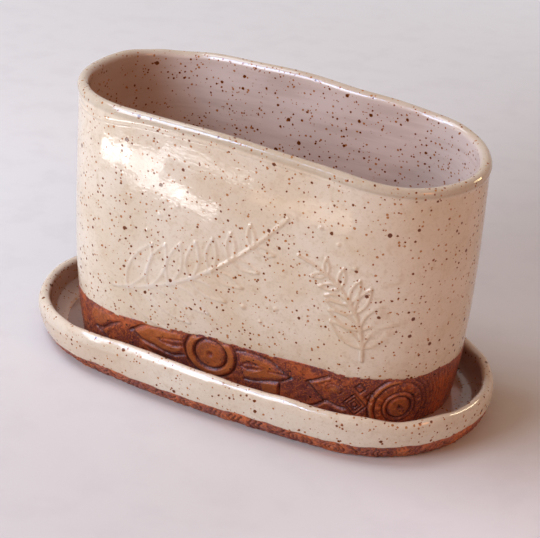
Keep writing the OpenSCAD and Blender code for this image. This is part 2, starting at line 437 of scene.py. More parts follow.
wall_marks = frond(bend((398, 54), (456, 62), (506, 124), 26), 7, 36, 0.9, 1.7, 0.7)
wall_marks += frond(bend((556, 46), (556, 92), (514, 104), 22), 6, 24, 0.9, 1.6, 0.95)
seed_heads = [
    (428, 108, 2.6), (439, 116, 2.0), (420, 96, 2.0),
    (482, 62, 2.6), (493, 55, 1.9), (502, 66, 2.2),
    (526, 124, 2.2), (537, 116, 1.8), (548, 104, 1.8),
]
for x, z, size in seed_heads:
    wall_marks.append(("pad", arc(x, z, size, 0, 330), size * 0.9, 0.9))
print(len(wall_marks), "raised marks on the wall")

# %% [markdown]
# ## The glazed wall
# The wall runs from the glaze line to the lip, over the round rim and down the inside. It could be
# a bent box with modifiers, but a wall made of rows holds each mark at an exact place. The glaze
# stands a little proud of the bare clay and ends in a soft roll, on a line that wanders up and
# down. The rim dips by 1 to 3 mm along the back. On the left of the front a thin ridge shows where
# the lip was joined.

# %% Lines round the wall
# How thick the glaze lies over the clay
glaze_skin = 0.45
# Heights of the glaze line, and how far the lip's ridge and the rim lie below their even height
glaze_line = [
    (0, 33), (0.1, 32.2), (0.2, 33.3), (0.32, 32.4), (0.43, 33.4), (0.52, 32.2), (0.6056, 33),
    (0.64, 32.3), (0.6824, 32.1), (0.7071, 33.4), (0.7276, 34.3), (0.75, 33.3), (0.79, 32.5),
    (0.82, 33.1), (0.87, 32.7), (0.8936, 33.6), (0.93, 32.9), (0.9463, 32.5), (0.965, 33.9), (1, 33),
]
ridge_drop = [
    (0, 6.2), (0.5, 12), (0.5985, 11.2), (0.664, 7.2), (0.7135, 6.9), (0.7515, 6.6), (0.79, 6.3), (1, 6.2),
]
rim_dip = [
    (0, 0), (0.1, 0.2), (0.14, 1.8), (0.18, 1.3), (0.22, 1.6), (0.28, 1.2), (0.34, 2.1), (0.39, 3.0),
    (0.42, 1.7), (0.455, 0), (1, 0),
]
print(f"the glaze line wanders over {max(z for _, z in glaze_line) - min(z for _, z in glaze_line):.1f} mm")

# %% [markdown]
# The grid has more columns where the drawing is, and its rows lie closer under the lip, where the
# shape turns quickly. An even grid that fine would be three times as heavy.

# %% Grid of the wall's outside
drawn_columns = np.linspace(0.615, 0.885, 270, endpoint=False)
plain_columns = np.linspace(0.885, 1.615, 170, endpoint=False)
share = np.sort(np.mod(np.concatenate([drawn_columns, plain_columns]), 1))[None, :]
top = rim_z(share) + uneven(share, 0, (80, 0.2, 5)) - eased_through(rim_dip, share)
line_z = eased_through(glaze_line, share) + ripples(share, (31, 0.15, 0), (53, 0.1, 1))
lip_radius = (planter_slab + lip_roll + lip_inner) / 2
lip_top = top - lip_radius
climb = np.concatenate([np.linspace(0, 0.9, 158, endpoint=False), np.linspace(0.9, 1, 32)])[:, None]
wall_z = line_z + (lip_top - line_z) * climb
along = share * planter_round + 0 * wall_z
print(f"{wall_z.shape[0]} rows of {wall_z.shape[1]} points, rim {top.min():.0f} to {top.max():.0f} mm high")

# %% [markdown]
# The wall's relief is a sum of heights. The drawing is fainter at the left, and its height has a
# limit, because marks add up where leaflets meet the stem. At the left the lip starts at its ridge
# and steps out over a few millimetres, which leaves one crease. Elsewhere it grows out of the wall
# more slowly. A small dent marks the seam at the right.

# %% Relief of the wall's outside
# The fine wall lies this far inside the CAD wall, so that its relief has room
wall_inset = 0.5
drawing_limit = 1.0
lip_rise = 4.0
seam_along, seam_z = 573, 119

drawing = np.minimum(marks_height(along, wall_z, wall_marks), drawing_limit)
drawing *= 0.7 + 0.3 * rounded(share, 0.7, 0.76)
edge_roll = glaze_skin * quarter_round(wall_z - line_z, 1.3)
ridge_z = rim_z(share) - eased_through(ridge_drop, share)
ridge_shown = rounded(share, 0.55, 0.60) * (1 - rounded(share, 0.79, 0.87))
ridge = 0.5 * ridge_shown * bell(wall_z - ridge_z, 0.8)
lip_foot = lip_top - lip_rise + (ridge_z - lip_top + lip_rise) * ridge_shown
lip_full = lip_foot + lip_rise - 1.5 * ridge_shown
lip_out = lip_roll * (1 - 0.6 * ridge_shown) * rounded(wall_z, lip_foot, lip_full)
seam_dent = -0.7 * bell(along - seam_along, 2.2) * bell(wall_z - seam_z, 6)
bulges = uneven(share, wall_z, (90, 0.2, 3), (32, 0.03, 4), (14, 0.01, 6))
wall_out = edge_roll + drawing + ridge + lip_out + seam_dent + bulges - wall_inset
outer = planter_points(share, wall_z, -wall_out)
print(f"the wall's relief goes from {wall_out.min():.1f} to {wall_out.max():.1f} mm")

# %% Rim and inside of the wall
turn_angle = np.linspace(0, math.pi, 17)[1:, None]
inner_bulges = (70, 0.45, 8)
inner_top_depth = planter_slab + lip_inner + uneven(share, lip_top, inner_bulges)
outer_top_depth = -wall_out[-1:]
top_depth = outer_top_depth + (inner_top_depth - outer_top_depth) * (1 - np.cos(turn_angle)) / 2
over = planter_points(share, lip_top + lip_radius * np.sin(turn_angle), top_depth)

fall = np.linspace(0, 1, 21)[1:, None] ** 1.3
inner_z = lip_top * (1 - fall) + band_height * fall
inner_depth = planter_slab + lip_inner * (1 - rounded(fall, 0, 0.1))
inside = planter_points(share, inner_z, inner_depth + uneven(share, inner_z, inner_bulges))
rows = np.concatenate([outer, over, inside])
print(f"{len(over)} rows over the rim and {len(inside)} down the inside")

# %% [markdown]
# The glaze changes over the wall, and values kept at the mesh's points tell the material where. It
# is warmer and darker where the glaze is thin: on the ridge, over the rim and on the crests of the
# right frond. Just above the glaze line this is partly thin glaze and partly painted shade, and it
# grows as painted shade towards the near end, which the lamps on the left light least. A painted
# highlight makes the drawing pale at the left. Inside, painted shade darkens the far end, and the
# lip is tinted a darker olive-grey. Painted vertex colours could do this too, but values leave the
# colours to the finish.

# %% Values at the wall's points, and its mesh
outside = slice(0, len(outer))
beyond = slice(len(outer), len(rows))
rows_beyond = np.arange(len(over) + len(inside))[:, None]
# Share of the way round where the two fronds meet
drawing_middle = 0.73
within, wear_and_shade, painted_highlight, lip = (np.zeros(rows.shape[:2]) for _ in range(4))
within[beyond] = rounded(rows_beyond, 6, 16)
# Painted shade: the inside of the far end is tinted darker and browner
far_end_shade = within * rounded(share, 0.37, 0.45) * (1 - rounded(share, 0.58, 0.68))
# Painted shade: the glaze is warmer and darker from the middle of the front to the near end
painted_shade_to_near_end = 0.42 * rounded(share, 0.62, 0.74) + 0.13 * rounded(share, 0.86, 0.94)
painted_shade_to_near_end += 0.55 * (1 - rounded(share, 0.06, 0.14))
wear_and_shade[outside] = np.maximum(np.clip(ridge / 0.6, 0, 1) * 0.3, painted_shade_to_near_end)
wear_and_shade[outside] += np.clip(drawing - 0.35, 0, 1) * (share > drawing_middle)
# Partly thin glaze and partly painted shade: warmer and darker just above the glaze line
wear_and_shade[outside] += 0.8 * (1 - rounded(wall_z - line_z, 0.4, 1.8))
wear_and_shade[len(outer) - 4:len(outer) + 8] += 0.2
# Painted highlight: the raised drawing at the left is tinted pale, where its crests would catch the light
painted_highlight[outside] = np.clip(drawing / 0.8, 0, 1) * (share < drawing_middle)
lip[outside] = rounded(wall_z, lip_top - 3, lip_top)
lip[beyond] = 1 - rounded(rows_beyond, 8, 15)
wall_values = {"within": within, "wear_and_shade": wear_and_shade, "painted_highlight": painted_highlight, "far_end_shade": far_end_shade, "lip": lip}
glazed_wall = ring_mesh("glazed_wall", rows, wall_values)

# %% [markdown]
# ## The stamped band
# Carved wooden stamps were pressed into the soft band: a ringed boss between two leaves, a
# chevron with an eye, a lattice of lozenges, and a second boss with rings like a sawn log. An image
# used as bump would stay flat at the edges, where stamps throw real shadows, so the stamps are
# marks too: a place in mm along the front and up the band, a width, and a height that is negative
# where a line is pressed in. The back of the pot repeats them.

# %% Marks of the ringed boss
boss_x, boss_z = 461.6, 23.5
band_marks = [
    ("ring", (boss_x, boss_z, 13.3, 12.8), 3.0, 0.95),
    ("ring", (boss_x, boss_z, 10.3, 10.3), 1.0, -1.0),
    ("ring", (boss_x, boss_z, 16.6, 16.0), 1.0, -0.9),
    ("pad", arc(boss_x, boss_z, 9.6, 0, 345, 24), 1.6, 0.6),
    ("ring", (boss_x, boss_z, 3.4, 3.4), 0.8, 0.15),
    ("pad", arc(boss_x, boss_z, 2.4, 0, 330), 1.4, -0.9),
]
print(len(band_marks), "marks in the boss")

# %% Marks of the leaf on its left
band_marks += [
    ("pad", [(411, 26), (419.7, 31.5), (427, 33.8), (433, 34.4), (440.7, 33.2), (444.5, 31),
             (443.5, 19), (438.3, 16.4), (431, 16.8), (423.8, 19.4), (416.6, 21.5)], 2.2, 0.75),
    ("line", [(411, 26), (416.6, 20.9), (423.8, 18.6), (431, 16), (438.3, 15.4), (444, 17.5)], 1.3, -0.8),
    ("line", [(409.5, 26), (415, 29.8), (419.7, 32.6), (426, 35)], 1.3, -0.9),
    ("pad", [(425.5, 25.6), (431.3, 27), (436.5, 28), (443.5, 29.2), (444.1, 22.6), (438.5, 21),
             (433.3, 21.3), (429, 22.8)], 1.3, -0.9),
    ("line", [(430, 24.4), (436.5, 24.8), (443, 26)], 1.2, 0.5),
    ("pad", [(416.5, 17.6), (423.2, 16.2), (431, 14.6), (437, 12), (432, 9), (424, 11.5)], 1.3, -0.9),
    ("line", [(417.5, 18.2), (424, 17), (431, 15.4)], 0.9, 0.35),
    ("pad", [(436, 11.5), (441, 13), (447, 11), (444, 7), (439, 7)], 1.3, 0.5),
]
print(len(band_marks), "marks with the left leaf")

# %% Marks of the leaf on its right
band_marks += [
    ("pad", [(479.3, 29.9), (485.5, 31.5), (491.8, 30.8), (499.8, 28.2), (505, 25), (512.4, 22),
             (506.2, 18.1), (497.2, 15.8), (489.4, 13.6), (483, 13.4)], 2.2, 0.7),
    ("line", [(478.5, 30.8), (485.5, 32.6), (492.5, 31.8), (500.5, 29), (507, 25.4), (513.5, 22)],
     1.1, -0.8),
    ("line", [(513.5, 22), (506.2, 17), (497.2, 14.7), (489.4, 12.4), (483, 12.2)], 1.1, -0.8),
    ("line", [(499, 22.5), (505.5, 22.6), (512, 22)], 1.0, -0.5),
    ("pad", [(480.5, 20.8), (482.5, 25), (487, 27), (491.5, 26.6), (498.4, 23.6), (491, 19.6),
             (484.5, 18.8)], 1.3, -0.9),
    ("line", [(483, 22), (489, 23), (495.5, 23.4)], 1.2, 0.5),
    ("line", [(494, 32.5), (499, 31), (503.5, 27.5)], 1.0, -0.5),
    ("pad", [(493, 13.2), (499.9, 15.2), (505.2, 15), (504.8, 7.5), (495, 5.5)], 1.2, 0.8),
    ("line", [(505.8, 15.4), (505.4, 6)], 0.9, -0.7),
]
print(len(band_marks), "marks with the right leaf")

# %% Marks of the stamp at the left end, and of the chevron with its eye
band_marks += [
    ("pad", [(376, 24), (381.4, 19.2), (387.5, 20.8), (394.2, 26.2), (400, 29.2), (392, 34), (380, 34)],
     1.8, 0.6),
    ("line", [(380.5, 18.4), (387.8, 19.8), (394.6, 25.2), (401, 28.4)], 1.2, -0.8),
    ("line", [(381.5, 17.5), (386.5, 16.8), (391.5, 13.5)], 1.1, -0.7),
    ("pad", [(384, 17.8), (390.7, 15.5), (396, 21.5), (402, 26.5), (394, 23)], 1.2, 0.5),
    ("line", [(536.5, 30.6), (529.9, 26.6), (522.8, 22.8), (528.2, 18), (533.5, 12.8)], 1.1, -0.9),
    ("line", [(537, 28.8), (530.8, 25), (526.4, 22.8), (530, 19.2)], 1.0, 0.6),
    ("pad", [(530.5, 22.4), (534.5, 26.2), (540.5, 28), (547, 26), (550, 22.5), (546, 18.8),
             (540, 17.4), (534.5, 19)], 1.6, 0.45),
    ("ring", (540.2, 22.6, 5.0, 3.4), 0.8, -0.6),
    ("pad", [(536.8, 22.6), (540.2, 24.6), (543.6, 22.6), (540.2, 20.6)], 1.0, 0.45),
    ("line", [(522.5, 4.5), (529, 8.2), (535.5, 13.2), (541, 11.2), (547, 10.6)], 1.2, -0.8),
    ("line", [(529.5, 6), (535.8, 10.8), (541, 8.8), (547, 8.4)], 1.1, 0.6),
]
print(len(band_marks), "marks with the chevron")

# %% Marks of the lozenges
def lozenge(x, z, half):
    """The four corners of a lozenge, and the first again to close it."""
    return [(x - half, z), (x, z + half), (x + half, z), (x, z - half), (x - half, z)]


for half in (2.3, 4.8, 7.6):
    band_marks.append(("line", lozenge(553.5, 14.5, half), 0.9, -0.65))
for x, z in ((556.5, 26.5), (563.5, 20.5)):
    band_marks.append(("line", lozenge(x, z, 3.4), 0.9, -0.7))
print(len(band_marks), "marks with the lozenges")

# %% Marks of the second boss, with rings like a sawn log
log_x, log_z = 583, 13.6
band_marks += [
    ("pad", arc(log_x, log_z, 7.4, 0, 345, 22), 1.4, 0.65),
    ("ring", (log_x, log_z, 8.4, 7.4), 0.9, -0.7),
    ("ring", (log_x, log_z, 10.0, 9.2), 0.8, 0.5),
    ("ring", (log_x, log_z, 11.6, 10.8), 0.9, -0.55),
    ("pad", arc(log_x + 0.2, log_z, 2.2, 0, 330, 10), 1.2, -0.8),
    ("line", [(log_x, log_z), (586, 12.4), (586.4, 10.2)], 0.9, -0.4),
    ("line", arc(log_x, log_z, 19.0, 96, 262, 18), 1.5, 0.9),
    ("line", arc(log_x, log_z, 21.2, 96, 262, 18), 1.0, -0.7),
    ("line", arc(log_x, log_z, 16.8, 100, 258, 18), 0.9, -0.6),
]
for angle in range(-60, 250, 24):
    tooth = [arc(log_x, log_z, radius, angle, angle, 1)[0] for radius in (13, 15.4)]
    band_marks.append(("line", tooth, 1.2, 0.6))
for k in range(9):
    log_ring = arc(log_x, log_z, 17.2 + 2.9 * k, -42 + k, 88 - 4.5 * k, 18)
    band_marks.append(("line", log_ring, 1.0, -0.42 + 0.02 * k))
print(len(band_marks), "marks in the band")

# %% [markdown]
# The band's grid is finer than the wall's, because its lines are only a millimetre wide. Pressed
# lines go a little deeper than raised ones stand, and all of them fade out below the glaze. The
# clay between them keeps the lumps of a hand-smoothed surface, and its inner face is glazed.

# %% Stamped band of the planter
foot_edge = 1.2
share = np.linspace(0, 1, 1260, endpoint=False)[None, :]
band_top = eased_through(glaze_line, share) + 1.6
band_z = band_top * np.linspace(0, 1, 64)[:, None]
along = share * planter_round + 0 * band_z
stamps = np.zeros(along.shape)
for side in (0, 0.5):
    stamps += marks_height(along + side * planter_round, band_z, band_marks)
stamps *= 1 - rounded(band_z, band_top - 3.4, band_top - 1.3)
stamps = np.where(stamps < 0, stamps * 1.25, stamps)
foot_round = foot_edge * (1 - quarter_round(band_z, foot_edge))
lumps = uneven(share, band_z, (30, 0.15, 11), (8, 0.1, 12), (3, 0.04, 13))
band_outer = planter_points(share, band_z, -(stamps + lumps - foot_round))
band_inner = planter_points(share, np.linspace(band_height, 0, 12)[:, None], planter_slab)
rows = np.concatenate([band_outer, band_inner])
pressed, within = (np.zeros(rows.shape[:2]) for _ in range(2))
pressed[:len(band_outer)] = stamps
within[len(band_outer):] = 1
stamped_band = ring_mesh("stamped_band", rows, {"pressed": pressed, "within": within})

# %% [markdown]
# ## The saucer
# The saucer is made like the planter, only low, and the same rows make its mesh. Its rim swells by
# up to a millimetre and a half where fingers pinched it. The rim's outer shoulder is rounder than
# its inner one, and the wall curves into the floor inside in a cove. The glaze line climbs a little
# at the right end, and the foot is drawn in further at the left front.

# %% Lines round the saucer
saucer_round = 4 * (saucer_a - saucer_b) + 2 * math.pi * saucer_b
saucer_line = [
    (0, 12.6), (0.08, 11.4), (0.2, 10), (0.35, 10.4), (0.5, 8.2), (0.56, 7.8), (0.62, 8.4), (0.68, 9.3),
    (0.75, 9.5), (0.8, 10.3), (0.875, 9.7), (0.93, 10.9), (1, 12.6),
]
rim_swell = [
    (0, 0.3), (0.05, 0), (0.6, 0), (0.656, 0.8), (0.703, 1.2), (0.726, 1.2), (0.75, 0.1), (0.771, -0.2),
    (0.8, 0.5), (0.833, 0.9), (0.873, 1.5), (0.892, 1.2), (0.915, 0.2), (0.954, 1.4), (1, 0.3),
]
share = np.linspace(0, 1, 640, endpoint=False)[None, :]
saucer_top = saucer_rim_z(share) + eased_through(rim_swell, share)
saucer_top += uneven(share, 0, (45, 0.45, 22), (20, 0.12, 25))
foot_line = eased_through(saucer_line, share) + ripples(share, (37, 0.25, 2), (71, 0.15, 0))
print(f"the saucer's rim is {saucer_top.min():.1f} to {saucer_top.max():.1f} mm high")

# %% Outside and rim of the saucer
saucer_shoulder = 5.6
saucer_radius = saucer_slab / 2
side_top = saucer_top - saucer_shoulder
side_z = foot_line + (side_top - foot_line) * np.linspace(0, 1, 40)[:, None]
side_ridge = rounded(share, 0.54, 0.58) * (1 - rounded(share, 0.66, 0.72))
side_ridge = side_ridge * bell(side_top - side_z - 1.9, 1.0)
side_out = glaze_skin * quarter_round(side_z - foot_line, 1.1) + 0.22 * side_ridge
side_out += uneven(share, side_z, (60, 0.35, 21), (24, 0.1, 23), (11, 0.04, 24))
saucer_outer = saucer_points(share, side_z, -side_out)

turn_angle = np.linspace(0, math.pi, 16)[1:, None]
over_depth = -side_out[-1:] + (saucer_slab + side_out[-1:]) * (1 - np.cos(turn_angle)) / 2
over_drop = np.where(turn_angle < math.pi / 2, saucer_shoulder, saucer_radius) * (1 - np.sin(turn_angle))
saucer_over = saucer_points(share, saucer_top - over_drop, over_depth)
print(f"{len(saucer_outer)} rows up the saucer's side and {len(saucer_over)} over its rim")

# %% Inside of the saucer
# The cove's radius is largest at the two ends, and its glaze lies just above the floor's
cove = 4.0 + 4.0 * np.cos(2 * math.pi * share) ** 4
tray_top = tray_slab + 0.04
inner_top = saucer_top - saucer_radius
fall = np.linspace(0, 1, 12)[1:, None]
cove_angle = np.linspace(0, math.pi / 2, 14)[1:, None]
wall_part = inner_top * (1 - fall) + (tray_top + cove) * fall
cove_part = tray_top + cove * (1 - np.sin(cove_angle))
cove_depth = saucer_slab + cove * (1 - np.cos(cove_angle))
inside_z = np.concatenate([wall_part, cove_part])
inside_depth = np.concatenate([np.full_like(wall_part, saucer_slab), cove_depth])
saucer_inside = saucer_points(share, inside_z, inside_depth)
flat_end = saucer_points(share, tray_top, saucer_slab + cove + np.array([[0.4], [0.8], [0.83]]))
saucer_under = saucer_points(share, tray_slab - 1.5, saucer_slab + cove - 2)
print(f"the cove's radius goes from {cove.min():.0f} to {cove.max():.0f} mm")

# %% Values at the saucer's points, and its mesh
rows = np.concatenate([saucer_outer, saucer_over, saucer_inside, flat_end, saucer_under])
within, wear_and_shade = (np.zeros(rows.shape[:2]) for _ in range(2))
within[len(saucer_outer):] = rounded(np.arange(len(rows) - len(saucer_outer)), 6, 16)[:, None]
# Painted shade: the saucer's outside is tinted warmer and darker at its left front, where the window lamp
# lights it most
wear_and_shade[:len(saucer_outer)] = 0.65 * rounded(share, 0.48, 0.54) * (1 - rounded(share, 0.66, 0.76))
wear_and_shade[len(saucer_outer) - 3:len(saucer_outer) + 9] = 0.35
# Painted shade: the inside of the saucer's far end is tinted darker and browner
far_end_shade = within * rounded(share, 0.36, 0.44) * (1 - rounded(share, 0.58, 0.68))
saucer_values = {"within": within, "wear_and_shade": wear_and_shade, "far_end_shade": far_end_shade}
glazed_saucer = ring_mesh("glazed_saucer_wall", rows, saucer_values)

# %% [markdown]
# ## The saucer's foot
# The foot is only a centimetre high, and its stamps are small: slanting cuts, chevrons, nested
# ovals and hanging arcs, one after another all the way round. Placing some 50 stamps by hand would
# take long and look no better, so a loop with a fixed seed picks the next one and moves on by its
# width.

# %% Marks of the saucer's foot
foot_marks = []
draw = np.random.default_rng(41)
place = 6.0
while place < saucer_round - 12:
    kind = draw.integers(4)
    # Three slanting cuts
    if kind == 0:
        for k in range(3):
            foot_marks.append(("line", [(place + 3 * k, 1.5), (place + 3 * k + 4, 8.8)], 0.9, -0.7))
        place += 13
    # Three chevrons
    elif kind == 1:
        for k in range(3):
            corner = place + 3.2 * k
            foot_marks.append(("line", [(corner + 3, 8.6), (corner, 5), (corner + 3, 1.4)], 0.9, -1.1))
        place += 13
    # Nested ovals
    elif kind == 2:
        for size in (2.4, 4.6, 7.2):
            foot_marks.append(("ring", (place + 8, 4.8, size, size * 0.62), 0.8, -1.0))
        foot_marks.append(("ring", (place + 8, 4.8, 9.4, 5.2), 0.9, 0.3))
        place += 20
    # Two hanging arcs
    else:
        foot_marks.append(("line", bend((place, 7.8), (place + 5, 1), (place + 10, 7.2), 8), 0.9, -1.1))
        foot_marks.append(("line", bend((place, 4.8), (place + 5, -2), (place + 10, 4.2), 8), 0.8, -0.9))
        place += 12
print(len(foot_marks), "marks round the saucer's foot")

# %% Stamped foot of the saucer
foot_edge = 1.0
share = np.linspace(0, 1, 1380, endpoint=False)[None, :]
foot_top = eased_through(saucer_line, share) + 0.9
foot_z = foot_top * np.linspace(0, 1, 24)[:, None]
foot_stamps = marks_height(share * saucer_round + 0 * foot_z, foot_z, foot_marks)
foot_stamps *= rounded(foot_z, 0, 1.5) * (1 - rounded(foot_z, foot_top - 2, foot_top - 0.6))
foot_lumps = uneven(share, foot_z, (14, 0.25, 31), (5, 0.18, 32), (2.6, 0.09, 33))
foot_round = foot_edge * (1 - quarter_round(foot_z, foot_edge))
foot_outer = saucer_points(share, foot_z, -(foot_stamps + foot_lumps - foot_round))
# Heights and depths of the hidden back of the foot, down beside the saucer's floor
foot_inner = saucer_points(share, np.array([[8.0], [tray_slab], [0.0]]), np.array([[4.5], [7.0], [7.0]]))
rows = np.concatenate([foot_outer, foot_inner])
pressed = np.zeros(rows.shape[:2])
pressed[:len(foot_outer)] = foot_stamps * 0.6
saucer_foot = ring_mesh("stamped_saucer_foot", rows, {"pressed": pressed})

# %% [markdown]
# ## Finishes
# A finish here is a graph of nodes that colours any point of the clay from its place and from the
# values kept in the mesh. An image would need the pieces unwrapped, and would blur close up. One
# function adds a node with its settings and its links, and one turns a sRGB hex colour into the
# linear numbers that the renderer works in.

# %% Colours and nodes
def linear(hex_colour):
    """An sRGB hex colour as linear RGBA."""
    parts = [int(hex_colour[i:i + 2], 16) / 255 for i in (1, 3, 5)]
    return [p / 12.92 if p <= 0.04045 else ((p + 0.055) / 1.055) ** 2.4 for p in parts] + [1.0]


def add_node(owner, kind, settings, inputs):
    """Adds a node with its settings and its inputs, by name or number: a socket or a value."""
    tree = owner.node_tree
    node = tree.nodes.new("ShaderNode" + kind)
    for name, value in settings.items():
        setattr(node, name, value)
    for name, value in inputs.items():
        if isinstance(value, bpy.types.NodeSocket):
            tree.links.new(value, node.inputs[name])
        else:
            node.inputs[name].default_value = value
    return node


def blank_material(name):
    """A material with nothing in its graph yet."""
    material = bpy.data.materials.new(name)
    material.use_nodes = True
    material.node_tree.nodes.clear()
    return material


print("the glaze's thin tone in linear numbers:", [round(part, 3) for part in linear("#C49F78")])

# %% [markdown]
# Almost every tone of a glaze or of fired clay is laid over the one before it, as a potter lays
# slip over slip: more where some value is high, none where it is low. One function does that, and
# a second one lays on clouds of a real size in mm.

# %% Tones over tones
cloud_roughness = 0.55


def tint(material, base, hex_colour, value, low, high, most=1.0):
    """A colour with another over it: none of it where a value is at low, its most at high."""
    part = add_node(material, "MapRange", {"interpolation_type": "SMOOTHSTEP"},
                    {"Value": value, "From Min": low, "From Max": high, "To Min": 0.0, "To Max": most})
    return add_node(material, "Mix", {"data_type": "RGBA"},
                    {0: part.outputs["Result"], 6: base, 7: linear(hex_colour)}).outputs[2]


def mottle(material, base, hex_colour, place, size_mm, detail, low, high, most=1.0):
    """A colour with clouds of another over it, in blotches of a real size in mm."""
    clouds = add_node(material, "TexNoise", {},
                      {"Vector": place, "Scale": 1 / (size_mm * MM), "Detail": detail,
                       "Roughness": cloud_roughness})
    return tint(material, base, hex_colour, clouds.outputs["Fac"], low, high, most)


print(f"clouds of 6 mm need a noise scale of {1 / (6 * MM):.0f} per metre")

# %% [markdown]
# ## Iron speckles
# Stoneware clay holds grains of iron that melt in the kiln and bleed up through the glaze as brown
# dots with rusty rims. Dots could be scattered as small meshes, but there are thousands. A Voronoi
# texture gives each cell of space one random point, and the surface is dotted where it passes close
# to one, so the dots get random sizes and go round every edge.

# %% Speckles
def speckles(material, place, cell_mm, smallest_mm, largest_mm, share_shown):
    """How far a point is inside a speckle, 0 to 1. Cells and radii are real sizes in mm."""
    cells = add_node(material, "TexVoronoi", {}, {"Vector": place, "Scale": 1 / (cell_mm * MM)})
    random_part = add_node(material, "SeparateColor", {}, {"Color": cells.outputs["Color"]}).outputs["Red"]
    radius = add_node(material, "MapRange", {},
                      {"Value": random_part, "From Min": 1 - share_shown, "From Max": 1.0,
                       "To Min": smallest_mm / cell_mm, "To Max": largest_mm / cell_mm})
    shown = add_node(material, "Math", {"operation": "GREATER_THAN"}, {0: random_part, 1: 1 - share_shown})
    gap = add_node(material, "Math", {"operation": "SUBTRACT"},
                   {0: radius.outputs["Result"], 1: cells.outputs["Distance"]})
    spot = add_node(material, "MapRange", {"interpolation_type": "SMOOTHSTEP"},
                    {"Value": gap.outputs[0], "From Min": 0.0, "From Max": 0.4 / cell_mm})
    both = add_node(material, "Math", {"operation": "MULTIPLY"},
                    {0: spot.outputs["Result"], 1: shown.outputs[0]})
    return both.outputs[0]


def ragged_place(material):
    """The place of a point, and the same place pushed about, so that no speckle is a true circle."""
    place = add_node(material, "TexCoord", {}, {}).outputs["Object"]
    push = add_node(material, "TexNoise", {}, {"Vector": place, "Scale": 1 / (1.1 * MM), "Detail": 1.0})
    moved = add_node(material, "VectorMath", {"operation": "MULTIPLY_ADD"},
                     {0: push.outputs["Color"], 1: (0.7 * MM,) * 3, 2: place})
    return place, moved.outputs[0]


print("speckles are 0.4 to 3 mm across")

# %% [markdown]
# ## Speckled cream glaze
# The glaze is a glossy, slightly cloudy cream over iron-bearing clay, poured on by hand. It is
# warmer where it lies thin, on crests and over the rim, and greyer and streaked inside the pot.
# Just above the bare band it is warmer and darker, partly from thin glaze and partly as painted
# shade. Painted shade also darkens it towards the near end and at the far end inside, and a painted
# highlight makes the raised drawing pale. The lip is tinted a darker olive-grey.

# %% Cream of the glaze
# Height of the streaks where the glaze was swirled round the inside, and their squeeze in length
streak_mm = 5
streak_squeeze = 0.12


def cream_coat(material, place, outside, inside):
    """Colour of the glaze without its iron, and how far each point is inside the pot."""
    kept = {value: add_node(material, "Attribute", {"attribute_name": value}, {}).outputs["Fac"]
            for value in ("wear_and_shade", "painted_highlight", "within", "far_end_shade", "lip")}
    base = mottle(material, linear(outside[0]), outside[1], place, 42, 4.0, 0.35, 0.7, 0.6)
    base = mottle(material, base, outside[2], place, 6, 3.0, 0.48, 0.72, 0.4)
    base = mottle(material, base, "#C6AB8A", place, 1.5, 2.0, 0.5, 0.7, 0.25)
    base = tint(material, base, "#C49F78", kept["wear_and_shade"], 0.1, 1.0, 0.5)
    # Painted highlight: pale over the raised drawing
    base = tint(material, base, "#E6DFDB", kept["painted_highlight"], 0.1, 1.0, 0.4)
    base = add_node(material, "Mix", {"data_type": "RGBA"},
                    {0: kept["within"], 6: base, 7: linear(inside[0])}).outputs[2]
    swirled = add_node(material, "Mapping", {},
                       {"Vector": place, "Scale": (streak_squeeze, streak_squeeze, 1)})
    clouds = add_node(material, "TexNoise", {},
                      {"Vector": swirled.outputs[0], "Scale": 1 / (streak_mm * MM), "Detail": 4.0,
                       "Roughness": cloud_roughness})
    streaks = add_node(material, "MapRange", {"interpolation_type": "SMOOTHSTEP"},
                       {"Value": clouds.outputs["Fac"], "From Min": 0.42, "From Max": 0.7,
                        "To Min": 0.0, "To Max": 0.4})
    streaks_within = add_node(material, "Math", {"operation": "MULTIPLY"},
                              {0: streaks.outputs["Result"], 1: kept["within"]})
    base = add_node(material, "Mix", {"data_type": "RGBA"},
                    {0: streaks_within.outputs[0], 6: base, 7: linear(inside[1])}).outputs[2]
    # Painted shade at the far end inside
    base = tint(material, base, "#B0876A", kept["far_end_shade"], 0.0, 1.0, 0.75)
    base = tint(material, base, "#AC9C86", kept["lip"], 0.0, 1.0, 0.48)
    return base, kept["within"]


print(f"streaks are about {streak_mm} mm high and {streak_mm / streak_squeeze:.0f} mm long")

# %% Iron in the glaze
def glaze_colour(material, place, ragged, outside, inside):
    """Colour of the glaze, and how far each point is inside a dark speckle."""
    base, within = cream_coat(material, place, outside, inside)
    faint = speckles(material, ragged, 2.0, 0.18, 0.42, 0.8)
    base = tint(material, base, "#B87430", faint, 0.0, 1.0, 0.5)
    rusty = speckles(material, ragged, 3.3, 0.42, 1.0, 0.8)
    base = tint(material, base, "#AC6404", rusty, 0.0, 0.8, 0.9)
    dark = add_node(material, "Math", {"operation": "MAXIMUM"},
                    {0: speckles(material, ragged, 3.5, 0.4, 0.95, 0.65),
                     1: speckles(material, ragged, 7.5, 0.8, 1.55, 0.5)})
    dark_within = add_node(material, "Math", {"operation": "MULTIPLY"},
                           {0: speckles(material, ragged, 3.2, 0.3, 0.9, 0.75), 1: within})
    dark = add_node(material, "Math", {"operation": "MAXIMUM"},
                    {0: dark.outputs[0], 1: dark_within.outputs[0]}).outputs[0]
    base = tint(material, base, "#B25E0C", dark, 0.0, 0.45, 0.92)
    return tint(material, base, "#5A2804", dark, 0.5, 1.0, 0.92), dark


print("the darkest iron in linear numbers:", [round(part, 3) for part in linear("#5A2804")])

# %% [markdown]
# A glaze is a glass, so its IOR is near 1.5 and its roughness is low. The eye reads it from the
# reflections, which waver with a faint unevenness of the poured coat, 2 mm wide, and dip into small
# pits at the iron spots. Both are far finer than the mesh, so bump does them.

